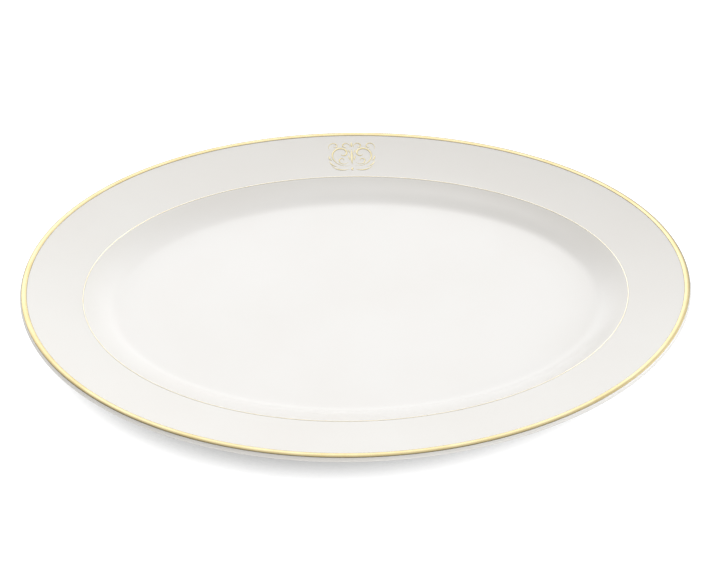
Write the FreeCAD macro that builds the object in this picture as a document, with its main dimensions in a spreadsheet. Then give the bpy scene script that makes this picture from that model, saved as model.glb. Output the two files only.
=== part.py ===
"""Oval bone-china serving platter with a gold-banded rim. FreeCAD 1.1 macro, millimetres.

The origin is the centre of the foot's bearing face, +X runs along the platter's length and
+Z is up. The china is one fired body. Glaze, gold and the printed backstamp are thin layers
on it, each one a sub-part of its own. Every ring of the form is an ellipse whose semi-axes
are those of the body's edge, both reduced by the same inset.
"""
import FreeCAD, Part
import math
import os
import re
import Sketcher

Vector = FreeCAD.Vector

# Driving dimensions. Insets are measured inward from the edge of the unglazed body.
SIZES = {
    "body_half_length": 204.05,
    "body_half_width": 151.75,
    "edge_height": 23.5,
    "lip_thickness": 4.0,
    "lip_radius": 2.5,
    "lip_under_radius": 1.0,
    "rim_width": 38.4,
    "verge_height": 15.75,
    "verge_radius": 1.5,
    "floor_height": 7.3,
    "shoulder_run": 17.1,
    "shoulder_radius": 12.0,
    "rim_under_inset": 36.9,
    "rim_under_height": 11.75,
    "rim_under_radius": 10.0,
    "foot_inset": 50.9,
    "foot_height": 4.8,
    "foot_width": 3.8,
    "foot_root_radius": 1.4,
    "foot_edge_radius": 0.8,
    "recess_depth": 2.5,
    "recess_draft": 1.2,
    "recess_radius": 1.1,
    "cutter_overrun": 15.0,
    "glaze_thickness": 0.3,
    "bare_foot_height": 0.9,
    "gold_thickness": 0.2,
    "gold_core_inset": 43.5,
    "gold_core_height": 12.3,
    "mid_lip_height": 20.0,
    "band_width": 4.05,
    "band_low_height": 22.4,
    "verge_line_inset": 37.7,
    "verge_line_width": 0.9,
    "emblem_inset": 20.9,
    "stamp_radius": 15.0,
    "stamp_ring_width": 0.8,
    "stamp_thickness": 0.1,
    "petal_inner": 3.0,
    "petal_outer": 12.0,
    "petal_half_width": 1.8,
}
PETAL_COUNT = 8

# Growth of each layer's outer surface over the unglazed body, as formulas.
BARE = "0"
GLAZED = "glaze_thickness"
GILDED = "(glaze_thickness + gold_thickness)"

# Scroll strokes of the rim emblem, right half: centre x and y, start angle and turn in
# degrees, start radius, end radius and greatest width.
EMBLEM_SCROLLS = [
    (5.9, 2.5, -117, 475, 11.3, 1.05, 1.5),
    (6.1, -2.9, -165, 400, 4.3, 0.7, 0.9),
    (4.2, 8.75, 212, -400, 3.5, 0.65, 0.9),
    (11.0, 8.4, -50, 400, 4.6, 0.65, 0.85),
]
# Leaf strokes, right half: start, control point, end and greatest width.
EMBLEM_LEAVES = [
    ((1.7, -10.3), (8.0, -13.0), (13.6, -7.6), 1.0),
    ((9.4, -8.4), (13.6, -7.6), (14.5, -3.2), 1.0),
    ((12.6, -3.6), (14.9, -2.2), (14.5, 1.0), 1.1),
    ((1.4, -3.4), (1.5, -0.8), (2.7, 1.2), 0.9),
    ((1.3, 2.6), (1.6, 4.6), (2.6, 6.1), 0.8),
]
# Buds on the emblem's centre line, in the same form as the leaves.
EMBLEM_BUDS = [
    ((0, -6.9), (0, 0), (0, 6.2), 1.7),
    ((0, -11.8), (0, -10.2), (0, -8.7), 1.5),
    ((0, 7.6), (0, 9.7), (0, 11.8), 1.5),
]
SCROLL_STEPS = 24
LEAF_STEPS = 8

doc = FreeCAD.newDocument("platter")


def make_sheet():
    """The spreadsheet of driving dimensions, one alias for each."""
    sheet = doc.addObject("Spreadsheet::Sheet", "sizes")
    for row, (name, value) in enumerate(SIZES.items(), start=1):
        sheet.set(f"A{row}", name)
        sheet.set(f"B{row}", str(value))
        sheet.setAlias(f"B{row}", name)
    doc.recompute()


def size(formula):
    """An expression on the sheet, from a formula whose words are dimension names."""
    return re.sub(r"([a-z]\w*)", r"sizes.\1", formula)


def new_body(label):
    body = doc.addObject("PartDesign::Body", label)
    body.Label = label
    return body


def level_sketch(body, name, height):
    """An empty sketch parallel to the body's XY plane, its height given by a formula."""
    plane = next(item for item in body.Origin.OriginFeatures if item.Role == "XY_Plane")
    sketch = body.newObject("Sketcher::SketchObject", f"{body.Label}_{name}")
    sketch.AttachmentSupport = [(plane, "")]
    sketch.MapMode = "FlatFace"
    sketch.setExpression("AttachmentOffset.Base.z", size(height))
    return sketch


def add_ellipse(sketch, name, inset):
    """An ellipse about the origin, inset from the body's edge by a formula."""
    curve = sketch.addGeometry(
        Part.Ellipse(Vector(200, 0, 0), Vector(0, 150, 0), Vector(0, 0, 0)), False)
    sketch.exposeInternalGeometry(curve)
    long_axis = curve + 1
    short_axis = curve + 2
    sketch.addConstraint(Sketcher.Constraint("Coincident", curve, 3, -1, 1))
    sketch.addConstraint(Sketcher.Constraint("Horizontal", long_axis))
    for line, reach in ((long_axis, "body_half_length"), (short_axis, "body_half_width")):
        length = 400 if line == long_axis else 300
        index = sketch.addConstraint(Sketcher.Constraint("Distance", line, length))
        sketch.renameConstraint(index, f"{name}_{reach}")
        sketch.setExpression(f"Constraints.{name}_{reach}", size(f"2 * ({reach} - ({inset}))"))


def add_circle(sketch, name, radius):
    """A circle about the origin, its radius given by a formula."""
    curve = sketch.addGeometry(Part.Circle(Vector(0, 0, 0), Vector(0, 0, 1), 10), False)
    sketch.addConstraint(Sketcher.Constraint("Coincident", curve, 3, -1, 1))
    index = sketch.addConstraint(Sketcher.Constraint("Radius", curve, 10))
    sketch.renameConstraint(index, name)
    sketch.setExpression(f"Constraints.{name}", size(radius))


def add_loft(body, kind, name, rings):
    """A ruled loft through ellipses given as (inset, height) formulas. Returns its sketches."""
    sketches = []
    for number, (inset, height) in enumerate(rings):
        sketch = level_sketch(body, f"{name}_{number}", height)
        add_ellipse(sketch, "ring", inset)
        sketches.append(sketch)
    loft = body.newObject(f"PartDesign::{kind}", f"{body.Label}_{name}")
    loft.Profile = sketches[0]
    loft.Sections = sketches[1:]
    loft.Ruled = True
    doc.recompute()
    return sketches


def add_pad(body, sketch, length, downward=False):
    """A pad of a sketch, its length given by a formula."""
    pad = body.newObject("PartDesign::Pad", f"{sketch.Name}_pad")
    pad.Profile = sketch
    pad.setExpression("Length", size(length))
    pad.Reversed = downward
    doc.recompute()
    return pad


def ring_edge(shape, ring):
    """Name of the edge of a shape that lies along a ring sketch."""
    wanted = ring.Shape.BoundBox
    for number, edge in enumerate(shape.Edges, start=1):
        box = edge.BoundBox
        gaps = (box.XMax - wanted.XMax, box.XMin - wanted.XMin, box.YMax - wanted.YMax,
                box.ZMax - wanted.ZMax, box.ZMin - wanted.ZMin)
        if max(abs(gap) for gap in gaps) < 0.01:
            return f"Edge{number}"
    raise ValueError(f"no edge along {ring.Name}")


def top_edge(shape):
    """Name of the highest edge of a shape."""
    lows = [edge.BoundBox.ZMin for edge in shape.Edges]
    return f"Edge{lows.index(max(lows)) + 1}"


def add_fillet(body, name, edge, radius):
    base = body.Tip
    fillet = body.newObject("PartDesign::Fillet", f"{body.Label}_{name}")
    fillet.Base = (base, [edge])
    fillet.setExpression("Radius", size(radius))
    doc.recompute()


def round_ring(body, name, ring, radius):
    """Round the edge along a ring sketch."""
    add_fillet(body, name, ring_edge(body.Tip.Shape, ring), radius)


def add_underside(body, growth, start_height):
    """The platter's outer form, from the foot round the shoulder to the lip, still solid."""
    return add_loft(body, "AdditiveLoft", "underside", [
        (f"foot_inset - {growth}", start_height),
        (f"foot_inset - {growth}", f"foot_height - {growth}"),
        (f"rim_under_inset - {growth}", f"rim_under_height - {growth}"),
        (f"0 - {growth}", f"edge_height - lip_thickness - {growth}"),
        (f"0 - {growth}", "edge_height + 2"),
    ])


def cut_upper_surface(body, growth):
    """Cut the well and the sloping rim, raised by a layer of the given thickness."""
    slope = "(edge_height - verge_height) / rim_width"
    return add_loft(body, "SubtractiveLoft", "upper", [
        ("rim_width + shoulder_run", f"floor_height + {growth}"),
        ("rim_width", f"verge_height + {growth}"),
        ("0 - cutter_overrun", f"edge_height + {growth} + cutter_overrun * {slope}"),
    ])


def cut_recess(body, growth):
    """Hollow the base inside the foot ring, less a layer of the given thickness."""
    inset = f"foot_inset + foot_width + {growth}"
    return add_loft(body, "SubtractiveLoft", "recess", [
        (inset, "0"),
        (f"{inset} + recess_draft", f"recess_depth - {growth}"),
    ])


def round_underside(body, rings, growth):
    """Round the edges of the underside. The forms must have been cut before they round."""
    round_ring(body, "lip_under", rings[3], f"lip_under_radius + {growth}")
    round_ring(body, "rim_under", rings[2], "rim_under_radius")
    round_ring(body, "foot_root", rings[1], "foot_root_radius")


def round_upper_surface(body, rings, growth):
    """Round the verge, where rim and shoulder meet, and the top of the lip."""
    round_ring(body, "verge", rings[1], "verge_radius")
    add_fillet(body, "lip_top", top_edge(body.Tip.Shape), f"lip_radius + {growth}")


def foot_core(start_height):
    """Rings of a plug that reaches from the middle of the foot into the floor."""
    return [
        ("foot_inset + foot_width / 2", start_height),
        ("foot_inset + foot_width / 2", "recess_depth + 1"),
    ]


def make_china_body():
    """The bisque body: well, shoulder, rim, lip and foot ring in one piece."""
    body = new_body("china_body")
    under = add_underside(body, BARE, "0")
    upper = cut_upper_surface(body, BARE)
    recess = cut_recess(body, BARE)
    round_upper_surface(body, upper, BARE)
    round_ring(body, "shoulder", upper[0], "shoulder_radius")
    round_underside(body, under, BARE)
    round_ring(body, "recess_corner", recess[1], "recess_radius")
    round_ring(body, "foot_outer_edge", under[0], "foot_edge_radius")
    round_ring(body, "foot_inner_edge", recess[0], "foot_edge_radius")
    return body


def cut(label, base, tool):
    result = doc.addObject("Part::Cut", label)
    result.Label = label
    result.Base = base
    result.Tool = tool
    return result


def common(label, base, tool):
    result = doc.addObject("Part::Common", label)
    result.Label = label
    result.Base = base
    result.Tool = tool
    return result


def make_glazed_form():
    """The glazed platter as one solid. Its foot ends just above the bearing edge."""
    form = new_body("glazed_form")
    under = add_underside(form, GLAZED, "bare_foot_height")
    upper = cut_upper_surface(form, GLAZED)
    add_loft(form, "SubtractiveLoft", "core", foot_core("bare_foot_height"))
    round_upper_surface(form, upper, GLAZED)
    round_ring(form, "shoulder", upper[0], "shoulder_radius")
    round_underside(form, under, GLAZED)
    return form


def make_base_glaze(china_body):
    """Glaze on the base inside the foot ring, down to just above the bearing edge."""
    form = new_body("base_glaze_form")
    add_loft(form, "AdditiveLoft", "core", foot_core("bare_foot_height"))
    recess = cut_recess(form, GLAZED)
    round_ring(form, "recess_corner", recess[1], "recess_radius")
    return cut("base_glaze", form, china_body)


def make_gold_film(glazed_form):
    """Gold as if it covered the whole rim, for the three gilded shapes to be taken from."""
    form = new_body("gold_form")
    add_loft(form, "AdditiveLoft", "core", [
        ("gold_core_inset", "gold_core_height"),
        (f"0 - {GILDED}", "mid_lip_height"),
        (f"0 - {GILDED}", "edge_height + 2"),
    ])
    upper = cut_upper_surface(form, GILDED)
    round_upper_surface(form, upper, GILDED)
    return cut("gold_film", form, glazed_form)


def make_ring(label, film, inner_inset, outer_inset, low_height):
    """Gold between two insets, above a height."""
    zone = new_body(f"{label}_zone")
    sketch = level_sketch(zone, "outline", low_height)
    add_ellipse(sketch, "outer", outer_inset)
    add_ellipse(sketch, "inner", inner_inset)
    add_pad(zone, sketch, f"edge_height + 2 - ({low_height})")
    return common(label, film, zone)


def scroll_sides(x, y, start, turn, first_radius, last_radius, width):
    """Points along both sides of a spiral stroke that is pointed at each end."""
    outer = []
    inner = []
    for step in range(SCROLL_STEPS + 1):
        part = step / SCROLL_STEPS
        angle = math.radians(start + turn * part)
        radius = first_radius * (last_radius / first_radius) ** part
        half = width / 2 * abs(math.sin(math.pi * part ** 0.85))
        for side, reach in ((outer, radius + half), (inner, radius - half)):
            side.append((x + reach * math.cos(angle), y + reach * math.sin(angle)))
    return outer, inner


def leaf_sides(start, control, end, width):
    """Points along both sides of a curved leaf that is pointed at each end."""
    left = []
    right = []
    for step in range(LEAF_STEPS + 1):
        part = step / LEAF_STEPS
        rest = 1 - part
        x, y = [rest * rest * a + 2 * part * rest * c + part * part * b
                for a, c, b in zip(start, control, end)]
        along_x, along_y = [2 * rest * (c - a) + 2 * part * (b - c)
                            for a, c, b in zip(start, control, end)]
        scale = width / 2 * math.sin(math.pi * part) / math.hypot(along_x, along_y)
        left.append((x - along_y * scale, y + along_x * scale))
        right.append((x + along_y * scale, y - along_x * scale))
    return left, right


def add_stroke(sketch, sides, mirror=1):
    """Draw a stroke from the points along its two sides."""
    for points in sides:
        curve = Part.BSplineCurve()
        curve.interpolate([Vector(mirror * x, y, 0) for x, y in points])
        sketch.addGeometry(curve, False)


def make_emblem(film):
    """A symmetrical ornament of scrolls and leaves in the middle of one long side."""
    zone = new_body("gold_rim_emblem_zone")
    sketch = level_sketch(zone, "outline", "verge_height - 4")
    sketch.setExpression("AttachmentOffset.Base.y", size("body_half_width - emblem_inset"))
    for mirror in (1, -1):
        for scroll in EMBLEM_SCROLLS:
            add_stroke(sketch, scroll_sides(*scroll), mirror)
        for leaf in EMBLEM_LEAVES:
            add_stroke(sketch, leaf_sides(*leaf), mirror)
    for bud in EMBLEM_BUDS:
        add_stroke(sketch, leaf_sides(*bud))
    add_pad(zone, sketch, "edge_height + 6 - verge_height")
    return common("gold_rim_emblem", film, zone)


def make_backstamp():
    """A printed ring and rosette under the middle of the base."""
    body = new_body("backstamp")
    surface = "recess_depth - glaze_thickness"
    ring = level_sketch(body, "ring", surface)
    add_circle(ring, "outer_radius", "stamp_radius")
    add_circle(ring, "inner_radius", "stamp_radius - stamp_ring_width")
    add_pad(body, ring, "stamp_thickness", downward=True)
    petal = level_sketch(body, "petal", surface)
    inner = Vector(SIZES["petal_inner"], 0, 0)
    outer = Vector(SIZES["petal_outer"], 0, 0)
    for side in (1, -1):
        bulge = (inner + outer) / 2 + Vector(0, side * SIZES["petal_half_width"], 0)
        petal.addGeometry(Part.Arc(inner, bulge, outer), False)
    petal_pad = add_pad(body, petal, "stamp_thickness", downward=True)
    pattern = body.newObject("PartDesign::PolarPattern", "backstamp_petals")
    pattern.Originals = [petal_pad]
    axis = next(item for item in body.Origin.OriginFeatures if item.Role == "Z_Axis")
    pattern.Axis = (axis, [""])
    pattern.Angle = 360
    pattern.Occurrences = PETAL_COUNT
    body.Tip = pattern
    doc.recompute()
    return body


def make_platter():
    """All the sub-parts, in the order in which they are made on the real object."""
    china_body = make_china_body()
    glazed_form = make_glazed_form()
    glaze_coat = cut("glaze_coat", glazed_form, china_body)
    base_glaze = make_base_glaze(china_body)
    film = make_gold_film(glazed_form)
    band = make_ring("gold_edge_band", film, "band_width", "0 - 5", "band_low_height")
    line_outer = "verge_line_inset - verge_line_width / 2"
    line_inner = "verge_line_inset + verge_line_width / 2"
    verge_line = make_ring("gold_verge_line", film, line_inner, line_outer, "verge_height - 2")
    emblem = make_emblem(film)
    backstamp = make_backstamp()
    doc.recompute()
    return [china_body, glaze_coat, base_glaze, band, verge_line, emblem, backstamp]


def check_document(parts):
    """Stop if any object failed, or if a sub-part has no valid solid."""
    for item in doc.Objects:
        if "Invalid" in item.State or "Error" in item.State:
            raise ValueError(f"{item.Name} failed: {item.State}")
    for part in parts:
        shape = part.Shape
        if shape.isNull() or not shape.isValid() or not shape.Solids:
            raise ValueError(f"{part.Label} has no valid solid")


def write_parts(parts):
    os.makedirs("parts", exist_ok=True)
    for part in parts:
        shape = part.Shape
        box = shape.BoundBox
        print(f"{part.Label}: {len(shape.Solids)} solids, {shape.Volume:.1f} mm3, "
              f"z {box.ZMin:.2f} to {box.ZMax:.2f}, x to {box.XMax:.2f}, y to {box.YMax:.2f}")
        shape.exportStep(f"parts/{part.Label}.step")


make_sheet()
platter = make_platter()
check_document(platter)
write_parts(platter)
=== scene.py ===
"""Looks of the oval bone-china serving platter with gold edging. Metres, in the CAD frame.

Every piece is turned from a profile of (inset, height) points. A point at inset k lies on the
ellipse whose semi-axes are those of the body's edge, both reduced by k.
"""

import math

import bmesh
import bpy
from mathutils import Matrix, Vector


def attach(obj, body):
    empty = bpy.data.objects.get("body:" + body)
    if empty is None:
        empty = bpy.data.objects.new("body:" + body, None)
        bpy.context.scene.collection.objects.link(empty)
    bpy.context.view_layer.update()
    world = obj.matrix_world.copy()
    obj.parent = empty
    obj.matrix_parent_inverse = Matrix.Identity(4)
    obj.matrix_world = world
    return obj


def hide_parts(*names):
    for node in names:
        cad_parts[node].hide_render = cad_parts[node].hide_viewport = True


MM = 0.001

# The body's profile, in millimetres, as in the CAD model.
HALF_LENGTH = 204.05
HALF_WIDTH = 151.75
EDGE_HEIGHT = 23.5
LIP_THICKNESS = 4.0
LIP_RADIUS = 2.5
LIP_UNDER_RADIUS = 1.0
RIM_WIDTH = 38.4
VERGE_HEIGHT = 15.75
VERGE_RADIUS = 1.5
FLOOR_HEIGHT = 7.3
SHOULDER_RUN = 17.1
SHOULDER_RADIUS = 12.0
RIM_UNDER = (36.9, 11.75, 10.0)
FOOT_INSET = 50.9
FOOT_HEIGHT = 4.8
FOOT_WIDTH = 3.8
FOOT_ROOT_RADIUS = 1.4
FOOT_EDGE_RADIUS = 0.8
RECESS_DEPTH = 2.5
RECESS_DRAFT = 1.2
RECESS_RADIUS = 1.1
GLAZE = 0.3
BARE_FOOT = 0.9
GOLD = 0.2
BAND_WIDTH = 4.05
BAND_LOW = 22.4
VERGE_LINE_INSET = 37.7
VERGE_LINE_WIDTH = 0.9
EMBLEM_INSET = 20.9
STAMP_RADIUS = 15.0
STAMP_RING_WIDTH = 0.8
RIM_SLOPE = (EDGE_HEIGHT - VERGE_HEIGHT) / RIM_WIDTH

SEGMENTS = 384
ARC_STEP = math.radians(7)
FILM_SHOULDER = 0.22

# The rim is a little out of true: its ends lift and it twists. Heights in mm at the edge,
# fading inward to nothing at the foot.
WARP_LIFT = 1.19
WARP_TWIST = -1.12
WARP_AT_VERGE = 0.78

# The rim is very slightly hollow between the edge and the verge, in mm at its middle.
RIM_SAG = 0.5


def edge_fade(inset):
    """1 at the edge, a little less at the verge, 0 at the foot and inside it."""
    if inset < RIM_WIDTH:
        return 1 - (1 - WARP_AT_VERGE) * max(inset, 0) / RIM_WIDTH
    part = min(1, (inset - RIM_WIDTH) / (FOOT_INSET - RIM_WIDTH))
    return WARP_AT_VERGE * (1 + math.cos(math.pi * part)) / 2


def rim_sag(inset):
    """How far the hollow of the rim lies below a straight line from edge to verge."""
    part = min(1, max(0, inset / RIM_WIDTH))
    return RIM_SAG * 4 * part * (1 - part)


def place(inset, height, angle):
    """The point of the platter at an inset, a height and an angle round the ellipse."""
    warp = edge_fade(inset) * (
        WARP_LIFT * math.cos(2 * angle) + WARP_TWIST * math.sin(2 * angle))
    raised = height + warp - rim_sag(inset)
    return Vector((
        (HALF_LENGTH - inset) * math.cos(angle) * MM,
        (HALF_WIDTH - inset) * math.sin(angle) * MM,
        raised * MM,
    ))


# Profiles


def round_corners(corners):
    """Points along a profile of (inset, height, radius) corners, each one rounded."""
    points = [Vector(corners[0][:2])]
    for before, corner, after in zip(corners, corners[1:], corners[2:]):
        here = Vector(corner[:2])
        back = (Vector(before[:2]) - here).normalized()
        ahead = (Vector(after[:2]) - here).normalized()
        half_angle = back.angle(ahead) / 2
        radius = corner[2]
        if radius == 0:
            points.append(here)
            continue
        centre = here + (back + ahead).normalized() * radius / math.sin(half_angle)
        start = here + back * radius / math.tan(half_angle) - centre
        turn = math.pi - 2 * half_angle
        steps = max(3, math.ceil(turn / ARC_STEP))
        if start.y * back.x - start.x * back.y < 0:
            turn = -turn
        for step in range(steps + 1):
            part = turn * step / steps
            spoke = Vector((
                start.x * math.cos(part) - start.y * math.sin(part),
                start.x * math.sin(part) + start.y * math.cos(part),
            ))
            points.append(centre + spoke)
    points.append(Vector(corners[-1][:2]))
    return points


def subdivide(points, longest):
    """Add points so that no step along a profile is longer than a length."""
    result = [points[0]]
    for start, end in zip(points, points[1:]):
        steps = max(1, math.ceil((end - start).length / longest))
        result += [start.lerp(end, step / steps) for step in range(1, steps + 1)]
    return result


def outside_profile(growth, start_height):
    """From the foot's outer flank, round the lip and down to the floor of the well."""
    return round_corners([
        (FOOT_INSET - growth, start_height, 0),
        (FOOT_INSET - growth, FOOT_HEIGHT - growth, FOOT_ROOT_RADIUS),
        (RIM_UNDER[0] - growth, RIM_UNDER[1] - growth, RIM_UNDER[2]),
        (-growth, EDGE_HEIGHT - LIP_THICKNESS - growth, LIP_UNDER_RADIUS + growth),
        (-growth, EDGE_HEIGHT + growth + RIM_SLOPE * growth, LIP_RADIUS + growth),
        (RIM_WIDTH, VERGE_HEIGHT + growth, VERGE_RADIUS),
        (RIM_WIDTH + SHOULDER_RUN, FLOOR_HEIGHT + growth, SHOULDER_RADIUS),
        (HALF_WIDTH * 0.45, FLOOR_HEIGHT + growth, 0),
    ])


def recess_profile(growth, start_height):
    """From the recess's ceiling to the foot's inner flank."""
    inset = FOOT_INSET + FOOT_WIDTH + growth
    ceiling = RECESS_DEPTH - growth
    part = start_height / RECESS_DEPTH
    return round_corners([
        (HALF_WIDTH * 0.45, ceiling, 0),
        (inset + RECESS_DRAFT, ceiling, RECESS_RADIUS),
        (inset + RECESS_DRAFT * part, start_height, 0),
    ])


# Meshes


def make_piece(name, mesh, nodes, material):
    """An object of the platter that stands for CAD nodes."""
    piece = bpy.data.objects.new(name, mesh)
    bpy.context.scene.collection.objects.link(piece)
    for polygon in mesh.polygons:
        polygon.use_smooth = True
    mesh.materials.append(material)
    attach(piece, "root")
    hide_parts(*nodes)
    return piece


def mesh_from(name, verts, faces, flow):
    """A mesh with its flow coordinates, which run round the platter and across the profile."""
    mesh = bpy.data.meshes.new(name)
    mesh.from_pydata(verts, [], faces)
    attribute = mesh.attributes.new("flow", "FLOAT_VECTOR", "POINT")
    attribute.data.foreach_set("vector", [value for point in flow for value in point])
    work = bmesh.new()
    work.from_mesh(mesh)
    bmesh.ops.recalc_face_normals(work, faces=work.faces)
    work.to_mesh(mesh)
    work.free()
    return mesh


def turn(name, profile, closed_loop):
    """Turn a profile round the platter. An open profile is filled to the centre at each end."""
    verts = []
    flow = []
    faces = []
    rings = len(profile)
    travel = 0.0
    for number, point in enumerate(profile):
        if number:
            travel += (point - profile[number - 1]).length
        for segment in range(SEGMENTS):
            angle = math.tau * segment / SEGMENTS
            verts.append(place(point.x, point.y, angle))
            flow.append((math.cos(angle), math.sin(angle), travel))
    last = rings if closed_loop else rings - 1
    for ring in range(last):
        low = ring * SEGMENTS
        high = (ring + 1) % rings * SEGMENTS
        for segment in range(SEGMENTS):
            beside = (segment + 1) % SEGMENTS
            faces.append((low + segment, low + beside, high + beside, high + segment))
    if not closed_loop:
        for ring in (0, rings - 1):
            fill_centre(verts, flow, faces, ring * SEGMENTS, profile[ring])
    return mesh_from(name, verts, faces, flow)


def fill_centre(verts, flow, faces, start, point, fill_rings=9):
    """Close a flat ring towards the platter's centre with smaller rings and a fan."""
    outer = range(start, start + SEGMENTS)
    rim = outer
    for ring in range(1, fill_rings):
        scale = 1 - ring / fill_rings
        inner = range(len(verts), len(verts) + SEGMENTS)
        for index in outer:
            position = verts[index]
            verts.append(Vector((position.x * scale, position.y * scale, position.z)))
            flow.append(flow[index])
        for segment in range(SEGMENTS):
            beside = (segment + 1) % SEGMENTS
            faces.append((rim[segment], rim[beside], inner[beside], inner[segment]))
        rim = inner
    verts.append(Vector((0, 0, point.y * MM)))
    flow.append((0, 0, 0))
    centre = len(verts) - 1
    for segment in range(SEGMENTS):
        faces.append((rim[segment], rim[(segment + 1) % SEGMENTS], centre))


def film_loop(surface, thickness):
    """A closed loop round a stretch of surface profile, raised in the middle of its width."""
    raised = []
    total = sum((b - a).length for a, b in zip(surface, surface[1:]))
    travel = 0.0
    for number, point in enumerate(surface):
        if number:
            travel += (point - surface[number - 1]).length
        before = surface[max(number - 1, 0)]
        after = surface[min(number + 1, len(surface) - 1)]
        along = (after - before).normalized()
        normal = Vector((-along.y, along.x))
        edge = min(travel, total - travel)
        rise = min(1.0, edge / FILM_SHOULDER)
        raised.append(point + normal * thickness * math.sqrt(rise * (2 - rise)))
    return raised + surface[-2:0:-1]


def stretch(corners, keep):
    """The points of a rounded profile that a test keeps."""
    return [point for point in subdivide(round_corners(corners), 0.15) if keep(point)]


def band_surface():
    """The glaze that the edge band covers: the outer side and top of the lip."""
    return stretch([
        (-GLAZE, EDGE_HEIGHT - LIP_THICKNESS, 0),
        (-GLAZE, EDGE_HEIGHT + GLAZE + RIM_SLOPE * GLAZE, LIP_RADIUS + GLAZE),
        (RIM_WIDTH, VERGE_HEIGHT + GLAZE, 0),
    ], lambda point: point.x <= BAND_WIDTH and point.y >= BAND_LOW)


def verge_surface():
    """The glaze that the verge line covers, on the rim just outside the break."""
    return stretch([
        (0, EDGE_HEIGHT + GLAZE, 0),
        (RIM_WIDTH, VERGE_HEIGHT + GLAZE, VERGE_RADIUS),
        (RIM_WIDTH + SHOULDER_RUN, FLOOR_HEIGHT + GLAZE, 0),
    ], lambda point: abs(point.x - VERGE_LINE_INSET) <= VERGE_LINE_WIDTH / 2)


# The rim emblem, strokes as in the CAD model, in millimetres about the emblem's centre.

EMBLEM_SCROLLS = [
    (5.9, 2.5, -117, 475, 11.3, 1.05, 1.5),
    (6.1, -2.9, -165, 400, 4.3, 0.7, 0.9),
    (4.2, 8.75, 212, -400, 3.5, 0.65, 0.9),
    (11.0, 8.4, -50, 400, 4.6, 0.65, 0.85),
]
EMBLEM_LEAVES = [
    ((1.7, -10.3), (8.0, -13.0), (13.6, -7.6), 1.0),
    ((9.4, -8.4), (13.6, -7.6), (14.5, -3.2), 1.0),
    ((12.6, -3.6), (14.9, -2.2), (14.5, 1.0), 1.1),
    ((1.4, -3.4), (1.5, -0.8), (2.7, 1.2), 0.9),
    ((1.3, 2.6), (1.6, 4.6), (2.6, 6.1), 0.8),
]
EMBLEM_BUDS = [
    ((0, -6.9), (0, 0), (0, 6.2), 1.7),
    ((0, -11.8), (0, -10.2), (0, -8.7), 1.5),
    ((0, 7.6), (0, 9.7), (0, 11.8), 1.5),
]
SCROLL_STEPS = 72
LEAF_STEPS = 24
STROKE_RISE = 0.2
EMBLEM_DRIFT = 1.2
STROKE_ARCH = 8


def scroll_sides(x, y, start, turn_by, first_radius, last_radius, width):
    """Pairs of points on the two sides of a spiral stroke, pointed at each end."""
    pairs = []
    for step in range(SCROLL_STEPS + 1):
        part = step / SCROLL_STEPS
        angle = math.radians(start + turn_by * part)
        radius = first_radius * (last_radius / first_radius) ** part
        half = width / 2 * abs(math.sin(math.pi * part ** 0.85))
        spoke = Vector((math.cos(angle), math.sin(angle)))
        centre = Vector((x, y))
        pairs.append((centre + spoke * (radius + half), centre + spoke * (radius - half)))
    return pairs


def leaf_sides(start, control, end, width):
    """Pairs of points on the two sides of a curved leaf, pointed at each end."""
    start, control, end = Vector(start), Vector(control), Vector(end)
    pairs = []
    for step in range(LEAF_STEPS + 1):
        part = step / LEAF_STEPS
        rest = 1 - part
        spine = start * rest * rest + control * 2 * part * rest + end * part * part
        along = ((control - start) * rest + (end - control) * part).normalized()
        across = Vector((-along.y, along.x)) * width / 2 * math.sin(math.pi * part)
        pairs.append((spine + across, spine - across))
    return pairs


def on_rim(spot, rise):
    """A point of the emblem laid on the sloping rim, raised by a height in millimetres.

    The whole emblem sits EMBLEM_DRIFT millimetres to one side of the middle.
    """
    x = spot.x + EMBLEM_DRIFT
    y = HALF_WIDTH - EMBLEM_INSET + spot.y
    inset = EMBLEM_INSET - spot.y
    for _ in range(5):
        inset = HALF_WIDTH - y / math.sqrt(1 - (x / (HALF_LENGTH - inset)) ** 2)
    angle = math.atan2(y / (HALF_WIDTH - inset), x / (HALF_LENGTH - inset))
    return place(inset, EDGE_HEIGHT + GLAZE - RIM_SLOPE * inset + rise, angle)


def add_stroke(pairs, verts, flow, faces):
    """A rounded ridge of gold between the two sides of a stroke."""
    rings = []
    travel = 0.0
    for number, (left, right) in enumerate(pairs):
        if number:
            travel += (left - pairs[number - 1][0]).length
        width = (left - right).length
        first = len(verts)
        if width < 1e-6:
            verts.append(on_rim(left, 0))
            flow.append((travel, 0, 0))
            rings.append([first])
            continue
        rise = STROKE_RISE * min(1, width)
        for step in range(STROKE_ARCH + 1):
            part = (1 - math.cos(math.pi * step / STROKE_ARCH)) / 2
            arch = math.sin(math.pi * step / STROKE_ARCH)
            verts.append(on_rim(left.lerp(right, part), rise * arch))
            flow.append((travel, 0, part * width))
        verts.append(on_rim(left.lerp(right, 0.5), -0.05))
        flow.append((travel, 0, width / 2))
        rings.append(list(range(first, len(verts))))
    for ring, following in zip(rings, rings[1:]):
        count = max(len(ring), len(following))
        for place_in_ring in range(count):
            beside = (place_in_ring + 1) % count
            if len(ring) == 1:
                faces.append((ring[0], following[beside], following[place_in_ring]))
            elif len(following) == 1:
                faces.append((ring[place_in_ring], ring[beside], following[0]))
            else:
                faces.append((ring[place_in_ring], ring[beside],
                              following[beside], following[place_in_ring]))


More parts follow.
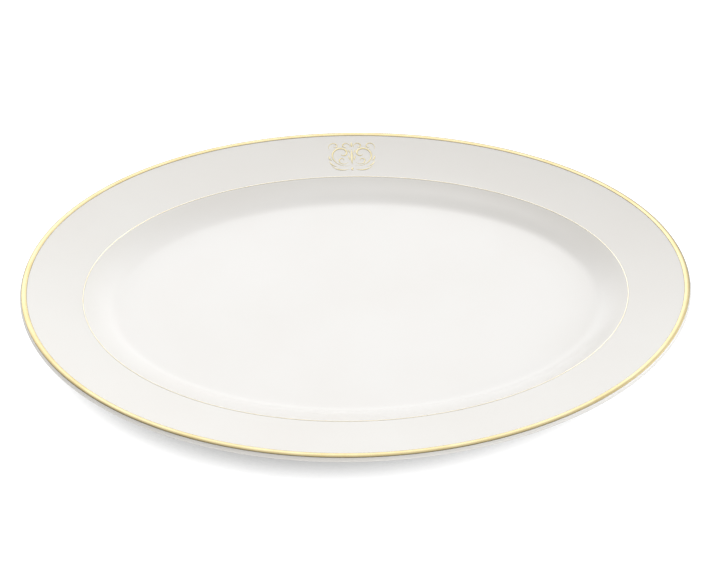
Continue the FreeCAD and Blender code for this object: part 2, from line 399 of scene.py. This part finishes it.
def emblem_mesh():
    """Scrolls and leaves mirrored about the middle of the long side, with buds between."""
    verts = []
    flow = []
    faces = []
    strokes = [scroll_sides(*scroll) for scroll in EMBLEM_SCROLLS]
    strokes += [leaf_sides(*leaf) for leaf in EMBLEM_LEAVES]
    for pairs in strokes:
        add_stroke(pairs, verts, flow, faces)
        mirrored = [(Vector((-a.x, a.y)), Vector((-b.x, b.y))) for a, b in pairs]
        add_stroke(mirrored, verts, flow, faces)
    for bud in EMBLEM_BUDS:
        add_stroke(leaf_sides(*bud), verts, flow, faces)
    return mesh_from("gold_ornament", verts, faces, flow)


# The print under the base

STAMP_PETALS = 8
STAMP_THICKNESS = 0.1
PETAL_INNER = 3.0
PETAL_OUTER = 12.0
PETAL_HALF_WIDTH = 1.8
RING_STEPS = 96
PETAL_STEPS = 16


def add_flat_strip(pairs, closed, verts, flow, faces):
    """A thin flat print between two sides, on the base's glaze."""
    top = RECESS_DEPTH - GLAZE
    levels = (top, top - STAMP_THICKNESS)
    first = len(verts)
    for outer, inner in pairs:
        for spot, level in ((outer, levels[0]), (outer, levels[1]),
                            (inner, levels[1]), (inner, levels[0])):
            verts.append(Vector((spot.x, spot.y, level)) * MM)
            flow.append((spot.x, spot.y, 0))
    count = len(pairs)
    for number in range(count if closed else count - 1):
        here = first + 4 * number
        there = first + 4 * ((number + 1) % count)
        for side in range(4):
            beside = (side + 1) % 4
            faces.append((here + side, here + beside, there + beside, there + side))


def print_mesh():
    """A ring round a rosette of petals."""
    verts = []
    flow = []
    faces = []
    spokes = [Vector((math.cos(math.tau * step / RING_STEPS), math.sin(math.tau * step / RING_STEPS)))
              for step in range(RING_STEPS)]
    ring = [(spoke * STAMP_RADIUS, spoke * (STAMP_RADIUS - STAMP_RING_WIDTH)) for spoke in spokes]
    add_flat_strip(ring, True, verts, flow, faces)
    for petal in range(STAMP_PETALS):
        turned = Matrix.Rotation(math.tau * petal / STAMP_PETALS, 2)
        pairs = []
        for step in range(PETAL_STEPS + 1):
            part = step / PETAL_STEPS
            reach = PETAL_INNER + (PETAL_OUTER - PETAL_INNER) * part
            half = max(0.01, PETAL_HALF_WIDTH * 4 * part * (1 - part))
            pairs.append((turned @ Vector((reach, half)), turned @ Vector((reach, -half))))
        add_flat_strip(pairs, False, verts, flow, faces)
    return mesh_from("base_print", verts, faces, flow)


# Materials


def add_node(tree, kind, inputs=None, **settings):
    """A shader node. An input is a value to set or an output to link."""
    item = tree.nodes.new(kind)
    for name, value in settings.items():
        setattr(item, name, value)
    for name, value in (inputs or {}).items():
        if isinstance(value, bpy.types.NodeSocket):
            tree.links.new(value, item.inputs[name])
        else:
            item.inputs[name].default_value = value
    return item


def mix_colours(tree, factor, first, second):
    """A blend of two colours."""
    item = tree.nodes.new("ShaderNodeMix")
    item.data_type = "RGBA"
    for index, value in ((0, factor), (6, first), (7, second)):
        if isinstance(value, bpy.types.NodeSocket):
            tree.links.new(value, item.inputs[index])
        else:
            item.inputs[index].default_value = value
    return item.outputs[2]


def noise(tree, coordinates, scale, detail=2.0, rough=0.5):
    """Noise values of a scale, over coordinates."""
    item = add_node(tree, "ShaderNodeTexNoise", {
        "Vector": coordinates, "Scale": scale, "Detail": detail, "Roughness": rough})
    return item.outputs["Fac"]


def remap(tree, value, low, high, to_low, to_high):
    """A value moved from one range to another, clamped."""
    item = add_node(tree, "ShaderNodeMapRange", {
        "Value": value, "From Min": low, "From Max": high,
        "To Min": to_low, "To Max": to_high})
    return item.outputs["Result"]


def calculate(tree, operation, first, second):
    """The result of a maths operation on two values."""
    item = tree.nodes.new("ShaderNodeMath")
    item.operation = operation
    for index, value in ((0, first), (1, second)):
        if isinstance(value, bpy.types.NodeSocket):
            tree.links.new(value, item.inputs[index])
        else:
            item.inputs[index].default_value = value
    return item.outputs[0]


def bump(tree, height, distance, normal=None):
    """A bump of a depth in metres, on top of another bump if one is given."""
    inputs = {"Height": height, "Distance": distance, "Strength": 1.0}
    if normal is not None:
        inputs["Normal"] = normal
    return add_node(tree, "ShaderNodeBump", inputs).outputs["Normal"]


def new_material(name):
    """A material with nodes, its tree, its surface shader and its object coordinates."""
    material = bpy.data.materials.new(name)
    material.use_nodes = True
    tree = material.node_tree
    shader = tree.nodes["Principled BSDF"]
    spots = tree.nodes.new("ShaderNodeTexCoord").outputs["Object"]
    return material, tree, shader, spots


def flow_coordinates(tree, around, across):
    """Coordinates that run round the platter and across its profile, each with its scale."""
    attribute = add_node(tree, "ShaderNodeAttribute", attribute_name="flow")
    item = add_node(tree, "ShaderNodeMapping", {
        "Vector": attribute.outputs["Vector"], "Scale": (around, around, across)})
    return item.outputs["Vector"]


def link(tree, value, shader, name):
    tree.links.new(value, shader.inputs[name])


def speck_mask(tree, spots, scale, radius, share):
    """Small round specks, in only a share of the cells."""
    cells = add_node(tree, "ShaderNodeTexVoronoi", {"Vector": spots, "Scale": scale})
    dot = remap(tree, cells.outputs["Distance"], radius * 0.6, radius, 1.0, 0.0)
    pick = add_node(tree, "ShaderNodeSeparateColor", {"Color": cells.outputs["Color"]})
    chosen = remap(tree, pick.outputs["Red"], share, share * 0.98, 0.0, 1.0)
    return calculate(tree, "MULTIPLY", dot, chosen)


# The rim is painted a little greyer than the well, as painted shade. Heights in metres between
# which the well's tone passes into the shaded rim tone.
WELL_TONE_TOP = 0.009
PAINTED_RIM_SHADE_FOOT = 0.016


def glazed_china_material():
    """Warm white bone china under a clear gloss glaze, barely wavy, with a few kiln specks, and
    painted shade that greys the rim.
    """
    material, tree, shader, spots = new_material("glazed_china")
    cloud = remap(tree, noise(tree, spots, 14.0, 3.0), 0.35, 0.65, 0.0, 1.0)
    well = mix_colours(tree, cloud, (0.805, 0.792, 0.766, 1), (0.820, 0.811, 0.790, 1))
    # Painted shade: the rim's tone is the well's tone made greyer, blended in by height.
    rim = mix_colours(tree, cloud, (0.745, 0.727, 0.693, 1), (0.757, 0.745, 0.714, 1))
    height = add_node(tree, "ShaderNodeSeparateXYZ", {"Vector": spots}).outputs["Z"]
    painted_rim_shade = remap(tree, height, WELL_TONE_TOP, PAINTED_RIM_SHADE_FOOT, 0.0, 1.0)
    tone = mix_colours(tree, painted_rim_shade, well, rim)
    specks = speck_mask(tree, spots, 26.0, 0.0055, 0.16)
    tone = mix_colours(tree, calculate(tree, "MULTIPLY", specks, 0.45), tone, (0.42, 0.36, 0.28, 1))
    link(tree, tone, shader, "Base Color")
    smudge = noise(tree, spots, 34.0, 6.0, 0.6)
    link(tree, remap(tree, smudge, 0.4, 0.75, 0.07, 0.14), shader, "Roughness")
    shader.inputs["IOR"].default_value = 1.5
    shader.inputs["Coat Weight"].default_value = 0.35
    shader.inputs["Coat Roughness"].default_value = 0.03
    sag = bump(tree, noise(tree, spots, 22.0, 1.0), 0.00006)
    link(tree, bump(tree, noise(tree, spots, 240.0, 2.0), 0.000004, sag), shader, "Normal")
    return material


def bisque_material():
    """Unglazed china: matt, very fine grained, a little dirty where it stands."""
    material, tree, shader, spots = new_material("bisque_china")
    grain = noise(tree, spots, 900.0, 4.0, 0.7)
    soil = noise(tree, spots, 60.0, 5.0, 0.6)
    tone = mix_colours(tree, remap(tree, soil, 0.45, 0.8, 0.0, 1.0),
                       (0.80, 0.765, 0.70, 1), (0.62, 0.56, 0.47, 1))
    link(tree, tone, shader, "Base Color")
    link(tree, remap(tree, grain, 0.3, 0.7, 0.72, 0.92), shader, "Roughness")
    link(tree, bump(tree, grain, 0.00003), shader, "Normal")
    return material


# The upward part of the surface normal where gold has its turned colour, a painted shade, and its
# full colour.
PAINTED_SHADE_FULL = 0.60
PAINTED_SHADE_GONE = 0.97


def gold_material(name, around, across, wear, turned, deep, pale):
    """Burnished fired-on gold: fine polishing lines along it, cloudier and rubbed in places.

    Where its surface turns away from straight up, it passes into the turned colour, a painted shade
    on its sides.
    """
    material, tree, shader, spots = new_material(name)
    shader.inputs["Metallic"].default_value = 1.0
    lines = noise(tree, flow_coordinates(tree, around, across), 1.0, 3.0, 0.65)
    cloud = noise(tree, spots, 70.0, 3.0)
    tone = mix_colours(tree, remap(tree, cloud, 0.3, 0.7, 0.0, 1.0), deep, pale)
    rubbed = remap(tree, noise(tree, spots, 420.0, 4.0, 0.7), wear, wear + 0.08, 0.0, 1.0)
    tone = mix_colours(tree, calculate(tree, "MULTIPLY", rubbed, 0.6), tone, (0.86, 0.72, 0.46, 1))
    # Painted shade: the gold darkens into the turned colour as its surface turns away from straight
    # up.
    facing = tree.nodes.new("ShaderNodeNewGeometry").outputs["Normal"]
    up = add_node(tree, "ShaderNodeSeparateXYZ", {"Vector": facing}).outputs["Z"]
    tone = mix_colours(tree, remap(tree, up, PAINTED_SHADE_FULL, PAINTED_SHADE_GONE, 0.0, 1.0), turned, tone)
    link(tree, tone, shader, "Base Color")
    link(tree, remap(tree, lines, 0.3, 0.7, 0.16, 0.30), shader, "Roughness")
    link(tree, bump(tree, lines, 0.000012), shader, "Normal")
    return material


def print_material():
    """A fired-on print in tan-gold enamel, uneven in strength like a transfer."""
    material, tree, shader, spots = new_material("stamp_enamel")
    patch = noise(tree, spots, 500.0, 5.0, 0.65)
    tone = mix_colours(tree, remap(tree, patch, 0.35, 0.7, 0.0, 1.0),
                       (0.38, 0.27, 0.11, 1), (0.56, 0.44, 0.24, 1))
    link(tree, tone, shader, "Base Color")
    link(tree, remap(tree, patch, 0.3, 0.7, 0.25, 0.45), shader, "Roughness")
    link(tree, bump(tree, patch, 0.00001), shader, "Normal")
    return material


# The pieces


def make_platter():
    china = glazed_china_material()
    # The dark colour given to each gold, before its two own tones, is painted shade for its sides.
    gold = gold_material("burnished_gold", 30.0, 9.0, 0.66, (0.26, 0.21, 0.10, 1),
                         (0.66, 0.545, 0.29, 1), (0.73, 0.63, 0.38, 1))
    thin_gold = gold_material("worn_gold", 30.0, 9.0, 0.56, (0.70, 0.64, 0.48, 1),
                              (0.80, 0.745, 0.60, 1), (0.82, 0.79, 0.69, 1))
    bisque_top = outside_profile(0, BARE_FOOT)
    glaze_top = outside_profile(GLAZE, BARE_FOOT)
    recess = recess_profile(0, BARE_FOOT)
    foot = round_corners([
        (recess[-1].x, recess[-1].y, 0),
        (FOOT_INSET + FOOT_WIDTH, 0, FOOT_EDGE_RADIUS),
        (FOOT_INSET, 0, FOOT_EDGE_RADIUS),
        (FOOT_INSET, BARE_FOOT, 0),
    ])
    bisque = recess[:-1] + foot + bisque_top[1:]
    glaze = glaze_top[::-1] + bisque_top
    base = recess_profile(GLAZE, BARE_FOOT) + recess[::-1]
    longest = 3.0
    make_piece("bisque_china", turn("bisque_china", subdivide(bisque, longest), False),
               ["china_body"], bisque_material())
    make_piece("glazed_china", turn("glazed_china", subdivide(glaze, longest), False),
               ["glaze_coat"], china)
    make_piece("glazed_base", turn("glazed_base", subdivide(base, longest), False),
               ["base_glaze"], china)
    make_piece("gold_edge", turn("gold_edge", film_loop(band_surface(), GOLD), True),
               ["gold_edge_band"], gold)
    make_piece("gold_verge", turn("gold_verge", film_loop(verge_surface(), GOLD), True),
               ["gold_verge_line"], thin_gold)
    make_piece("gold_ornament", emblem_mesh(), ["gold_rim_emblem"],
               gold_material("ornament_gold", 0.4, 6.0, 0.62, (0.40, 0.34, 0.20, 1),
                             (0.60, 0.52, 0.31, 1), (0.71, 0.65, 0.45, 1)))
    make_piece("base_print", print_mesh(), ["backstamp"], print_material())


# Floor, light and camera


SHADE_REACH = 0.018
FLOOR_SHADED = 0.20
FLOOR_LIT = 1.0
FLOOR_MIRRORED = 0.1
# How open the floor is to the sky where it is darkest, and where it is fully lit.
MOST_SHADED = 0.45
LEAST_SHADED = 0.96


def make_floor():
    """A plain white floor that glows like a lit table, but not where the platter shades it.

    Little of the glow is mirrored, so that the gold keeps a dark outer side.
    """
    mesh = bpy.data.meshes.new("studio_floor")
    reach = 40.0
    mesh.from_pydata([(-reach, -reach, 0), (reach, -reach, 0), (reach, reach, 0),
                      (-reach, reach, 0)], [], [(0, 1, 2, 3)])
    floor = bpy.data.objects.new("studio_floor", mesh)
    floor.location.z = -0.00005
    bpy.context.scene.collection.objects.link(floor)
    material, tree, shader, spots = new_material("studio_white")
    shader.inputs["Base Color"].default_value = (0.35, 0.35, 0.352, 1)
    shader.inputs["Roughness"].default_value = 0.9
    shader.inputs["Specular IOR Level"].default_value = 0.0
    shader.inputs["Emission Color"].default_value = (0.99, 0.995, 1.0, 1)
    shade = add_node(tree, "ShaderNodeAmbientOcclusion", {"Distance": SHADE_REACH}, samples=8)
    glow = remap(tree, shade.outputs["AO"], MOST_SHADED, LEAST_SHADED, FLOOR_SHADED, FLOOR_LIT)
    mirrored = tree.nodes.new("ShaderNodeLightPath").outputs["Is Glossy Ray"]
    share = remap(tree, mirrored, 0.0, 1.0, 1.0, FLOOR_MIRRORED)
    link(tree, calculate(tree, "MULTIPLY", glow, share), shader, "Emission Strength")
    mesh.materials.append(material)


SKY_AMBIENT = 0.40
SKY_AMBIENT_COLOUR = (1.0, 0.96, 0.90, 1)
SKY_LOBE_COLOUR = (0.985, 1.0, 1.03, 1)
SKY_LOBE_POWER = 6.0
SKY_LOBES = [
    ((0, 0.8, 0.6), 1.24),
    ((0, 0, 1), 0.64),
    ((1, 0, 0.15), 3.5),
    ((-0.7, 0.7, 0.3), 1.32),
]


def make_sky():
    """Warm light from all round, and white lobes: back, above, right and back left."""
    world = bpy.data.worlds.new("studio_light")
    bpy.context.scene.world = world
    world.use_nodes = True
    tree = world.node_tree
    background = tree.nodes["Background"]
    background.inputs["Color"].default_value = SKY_LOBE_COLOUR
    direction = tree.nodes.new("ShaderNodeTexCoord").outputs["Generated"]
    total = 0.0
    for towards, strength in SKY_LOBES:
        facing = add_node(tree, "ShaderNodeVectorMath", operation="DOT_PRODUCT")
        tree.links.new(direction, facing.inputs[0])
        facing.inputs[1].default_value = Vector(towards).normalized()
        lobe = calculate(tree, "MAXIMUM", facing.outputs["Value"], 0.0)
        lobe = calculate(tree, "POWER", lobe, SKY_LOBE_POWER)
        total = calculate(tree, "ADD", calculate(tree, "MULTIPLY", lobe, strength), total)
    seen = tree.nodes.new("ShaderNodeLightPath").outputs["Is Camera Ray"]
    link(tree, calculate(tree, "MAXIMUM", total, seen), background, "Strength")
    ambient = add_node(tree, "ShaderNodeBackground", {
        "Color": SKY_AMBIENT_COLOUR, "Strength": SKY_AMBIENT})
    both = tree.nodes.new("ShaderNodeAddShader")
    tree.links.new(background.outputs[0], both.inputs[0])
    tree.links.new(ambient.outputs[0], both.inputs[1])
    tree.links.new(both.outputs[0], tree.nodes["World Output"].inputs["Surface"])


CAMERA_DISTANCE = 2.0432
CAMERA_AZIMUTH = -0.0250
CAMERA_ELEVATION = 0.7103
CAMERA_ROLL = -0.0050
CAMERA_LENS = 170.0
CAMERA_TARGET = Vector((-0.0005, 0, 0.0230))


def make_camera():
    """A long lens above the front long side, aimed at the middle of the rim's plane."""
    data = bpy.data.cameras.new("camera")
    data.sensor_width = 36.0
    data.lens = CAMERA_LENS
    data.clip_end = 100.0
    camera = bpy.data.objects.new("camera", data)
    bpy.context.scene.collection.objects.link(camera)
    level = math.cos(CAMERA_ELEVATION)
    back = Vector((math.sin(CAMERA_AZIMUTH) * level, -math.cos(CAMERA_AZIMUTH) * level,
                   math.sin(CAMERA_ELEVATION)))
    right = Vector((math.cos(CAMERA_AZIMUTH), math.sin(CAMERA_AZIMUTH), 0))
    up = back.cross(right)
    rolled_right = right * math.cos(CAMERA_ROLL) + up * math.sin(CAMERA_ROLL)
    rolled_up = up * math.cos(CAMERA_ROLL) - right * math.sin(CAMERA_ROLL)
    axes = Matrix((rolled_right, rolled_up, back)).transposed().to_4x4()
    camera.matrix_world = Matrix.Translation(CAMERA_TARGET + back * CAMERA_DISTANCE) @ axes
    bpy.context.scene.camera = camera


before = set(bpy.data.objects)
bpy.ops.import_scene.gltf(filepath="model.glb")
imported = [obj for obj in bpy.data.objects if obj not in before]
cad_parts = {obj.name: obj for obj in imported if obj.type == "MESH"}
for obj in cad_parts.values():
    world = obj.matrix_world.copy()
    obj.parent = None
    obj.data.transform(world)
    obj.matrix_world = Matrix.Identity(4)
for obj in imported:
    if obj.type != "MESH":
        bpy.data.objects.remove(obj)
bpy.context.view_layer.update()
make_platter()
make_floor()
make_sky()
make_camera()
bpy.context.scene.view_settings.view_transform = "Standard"
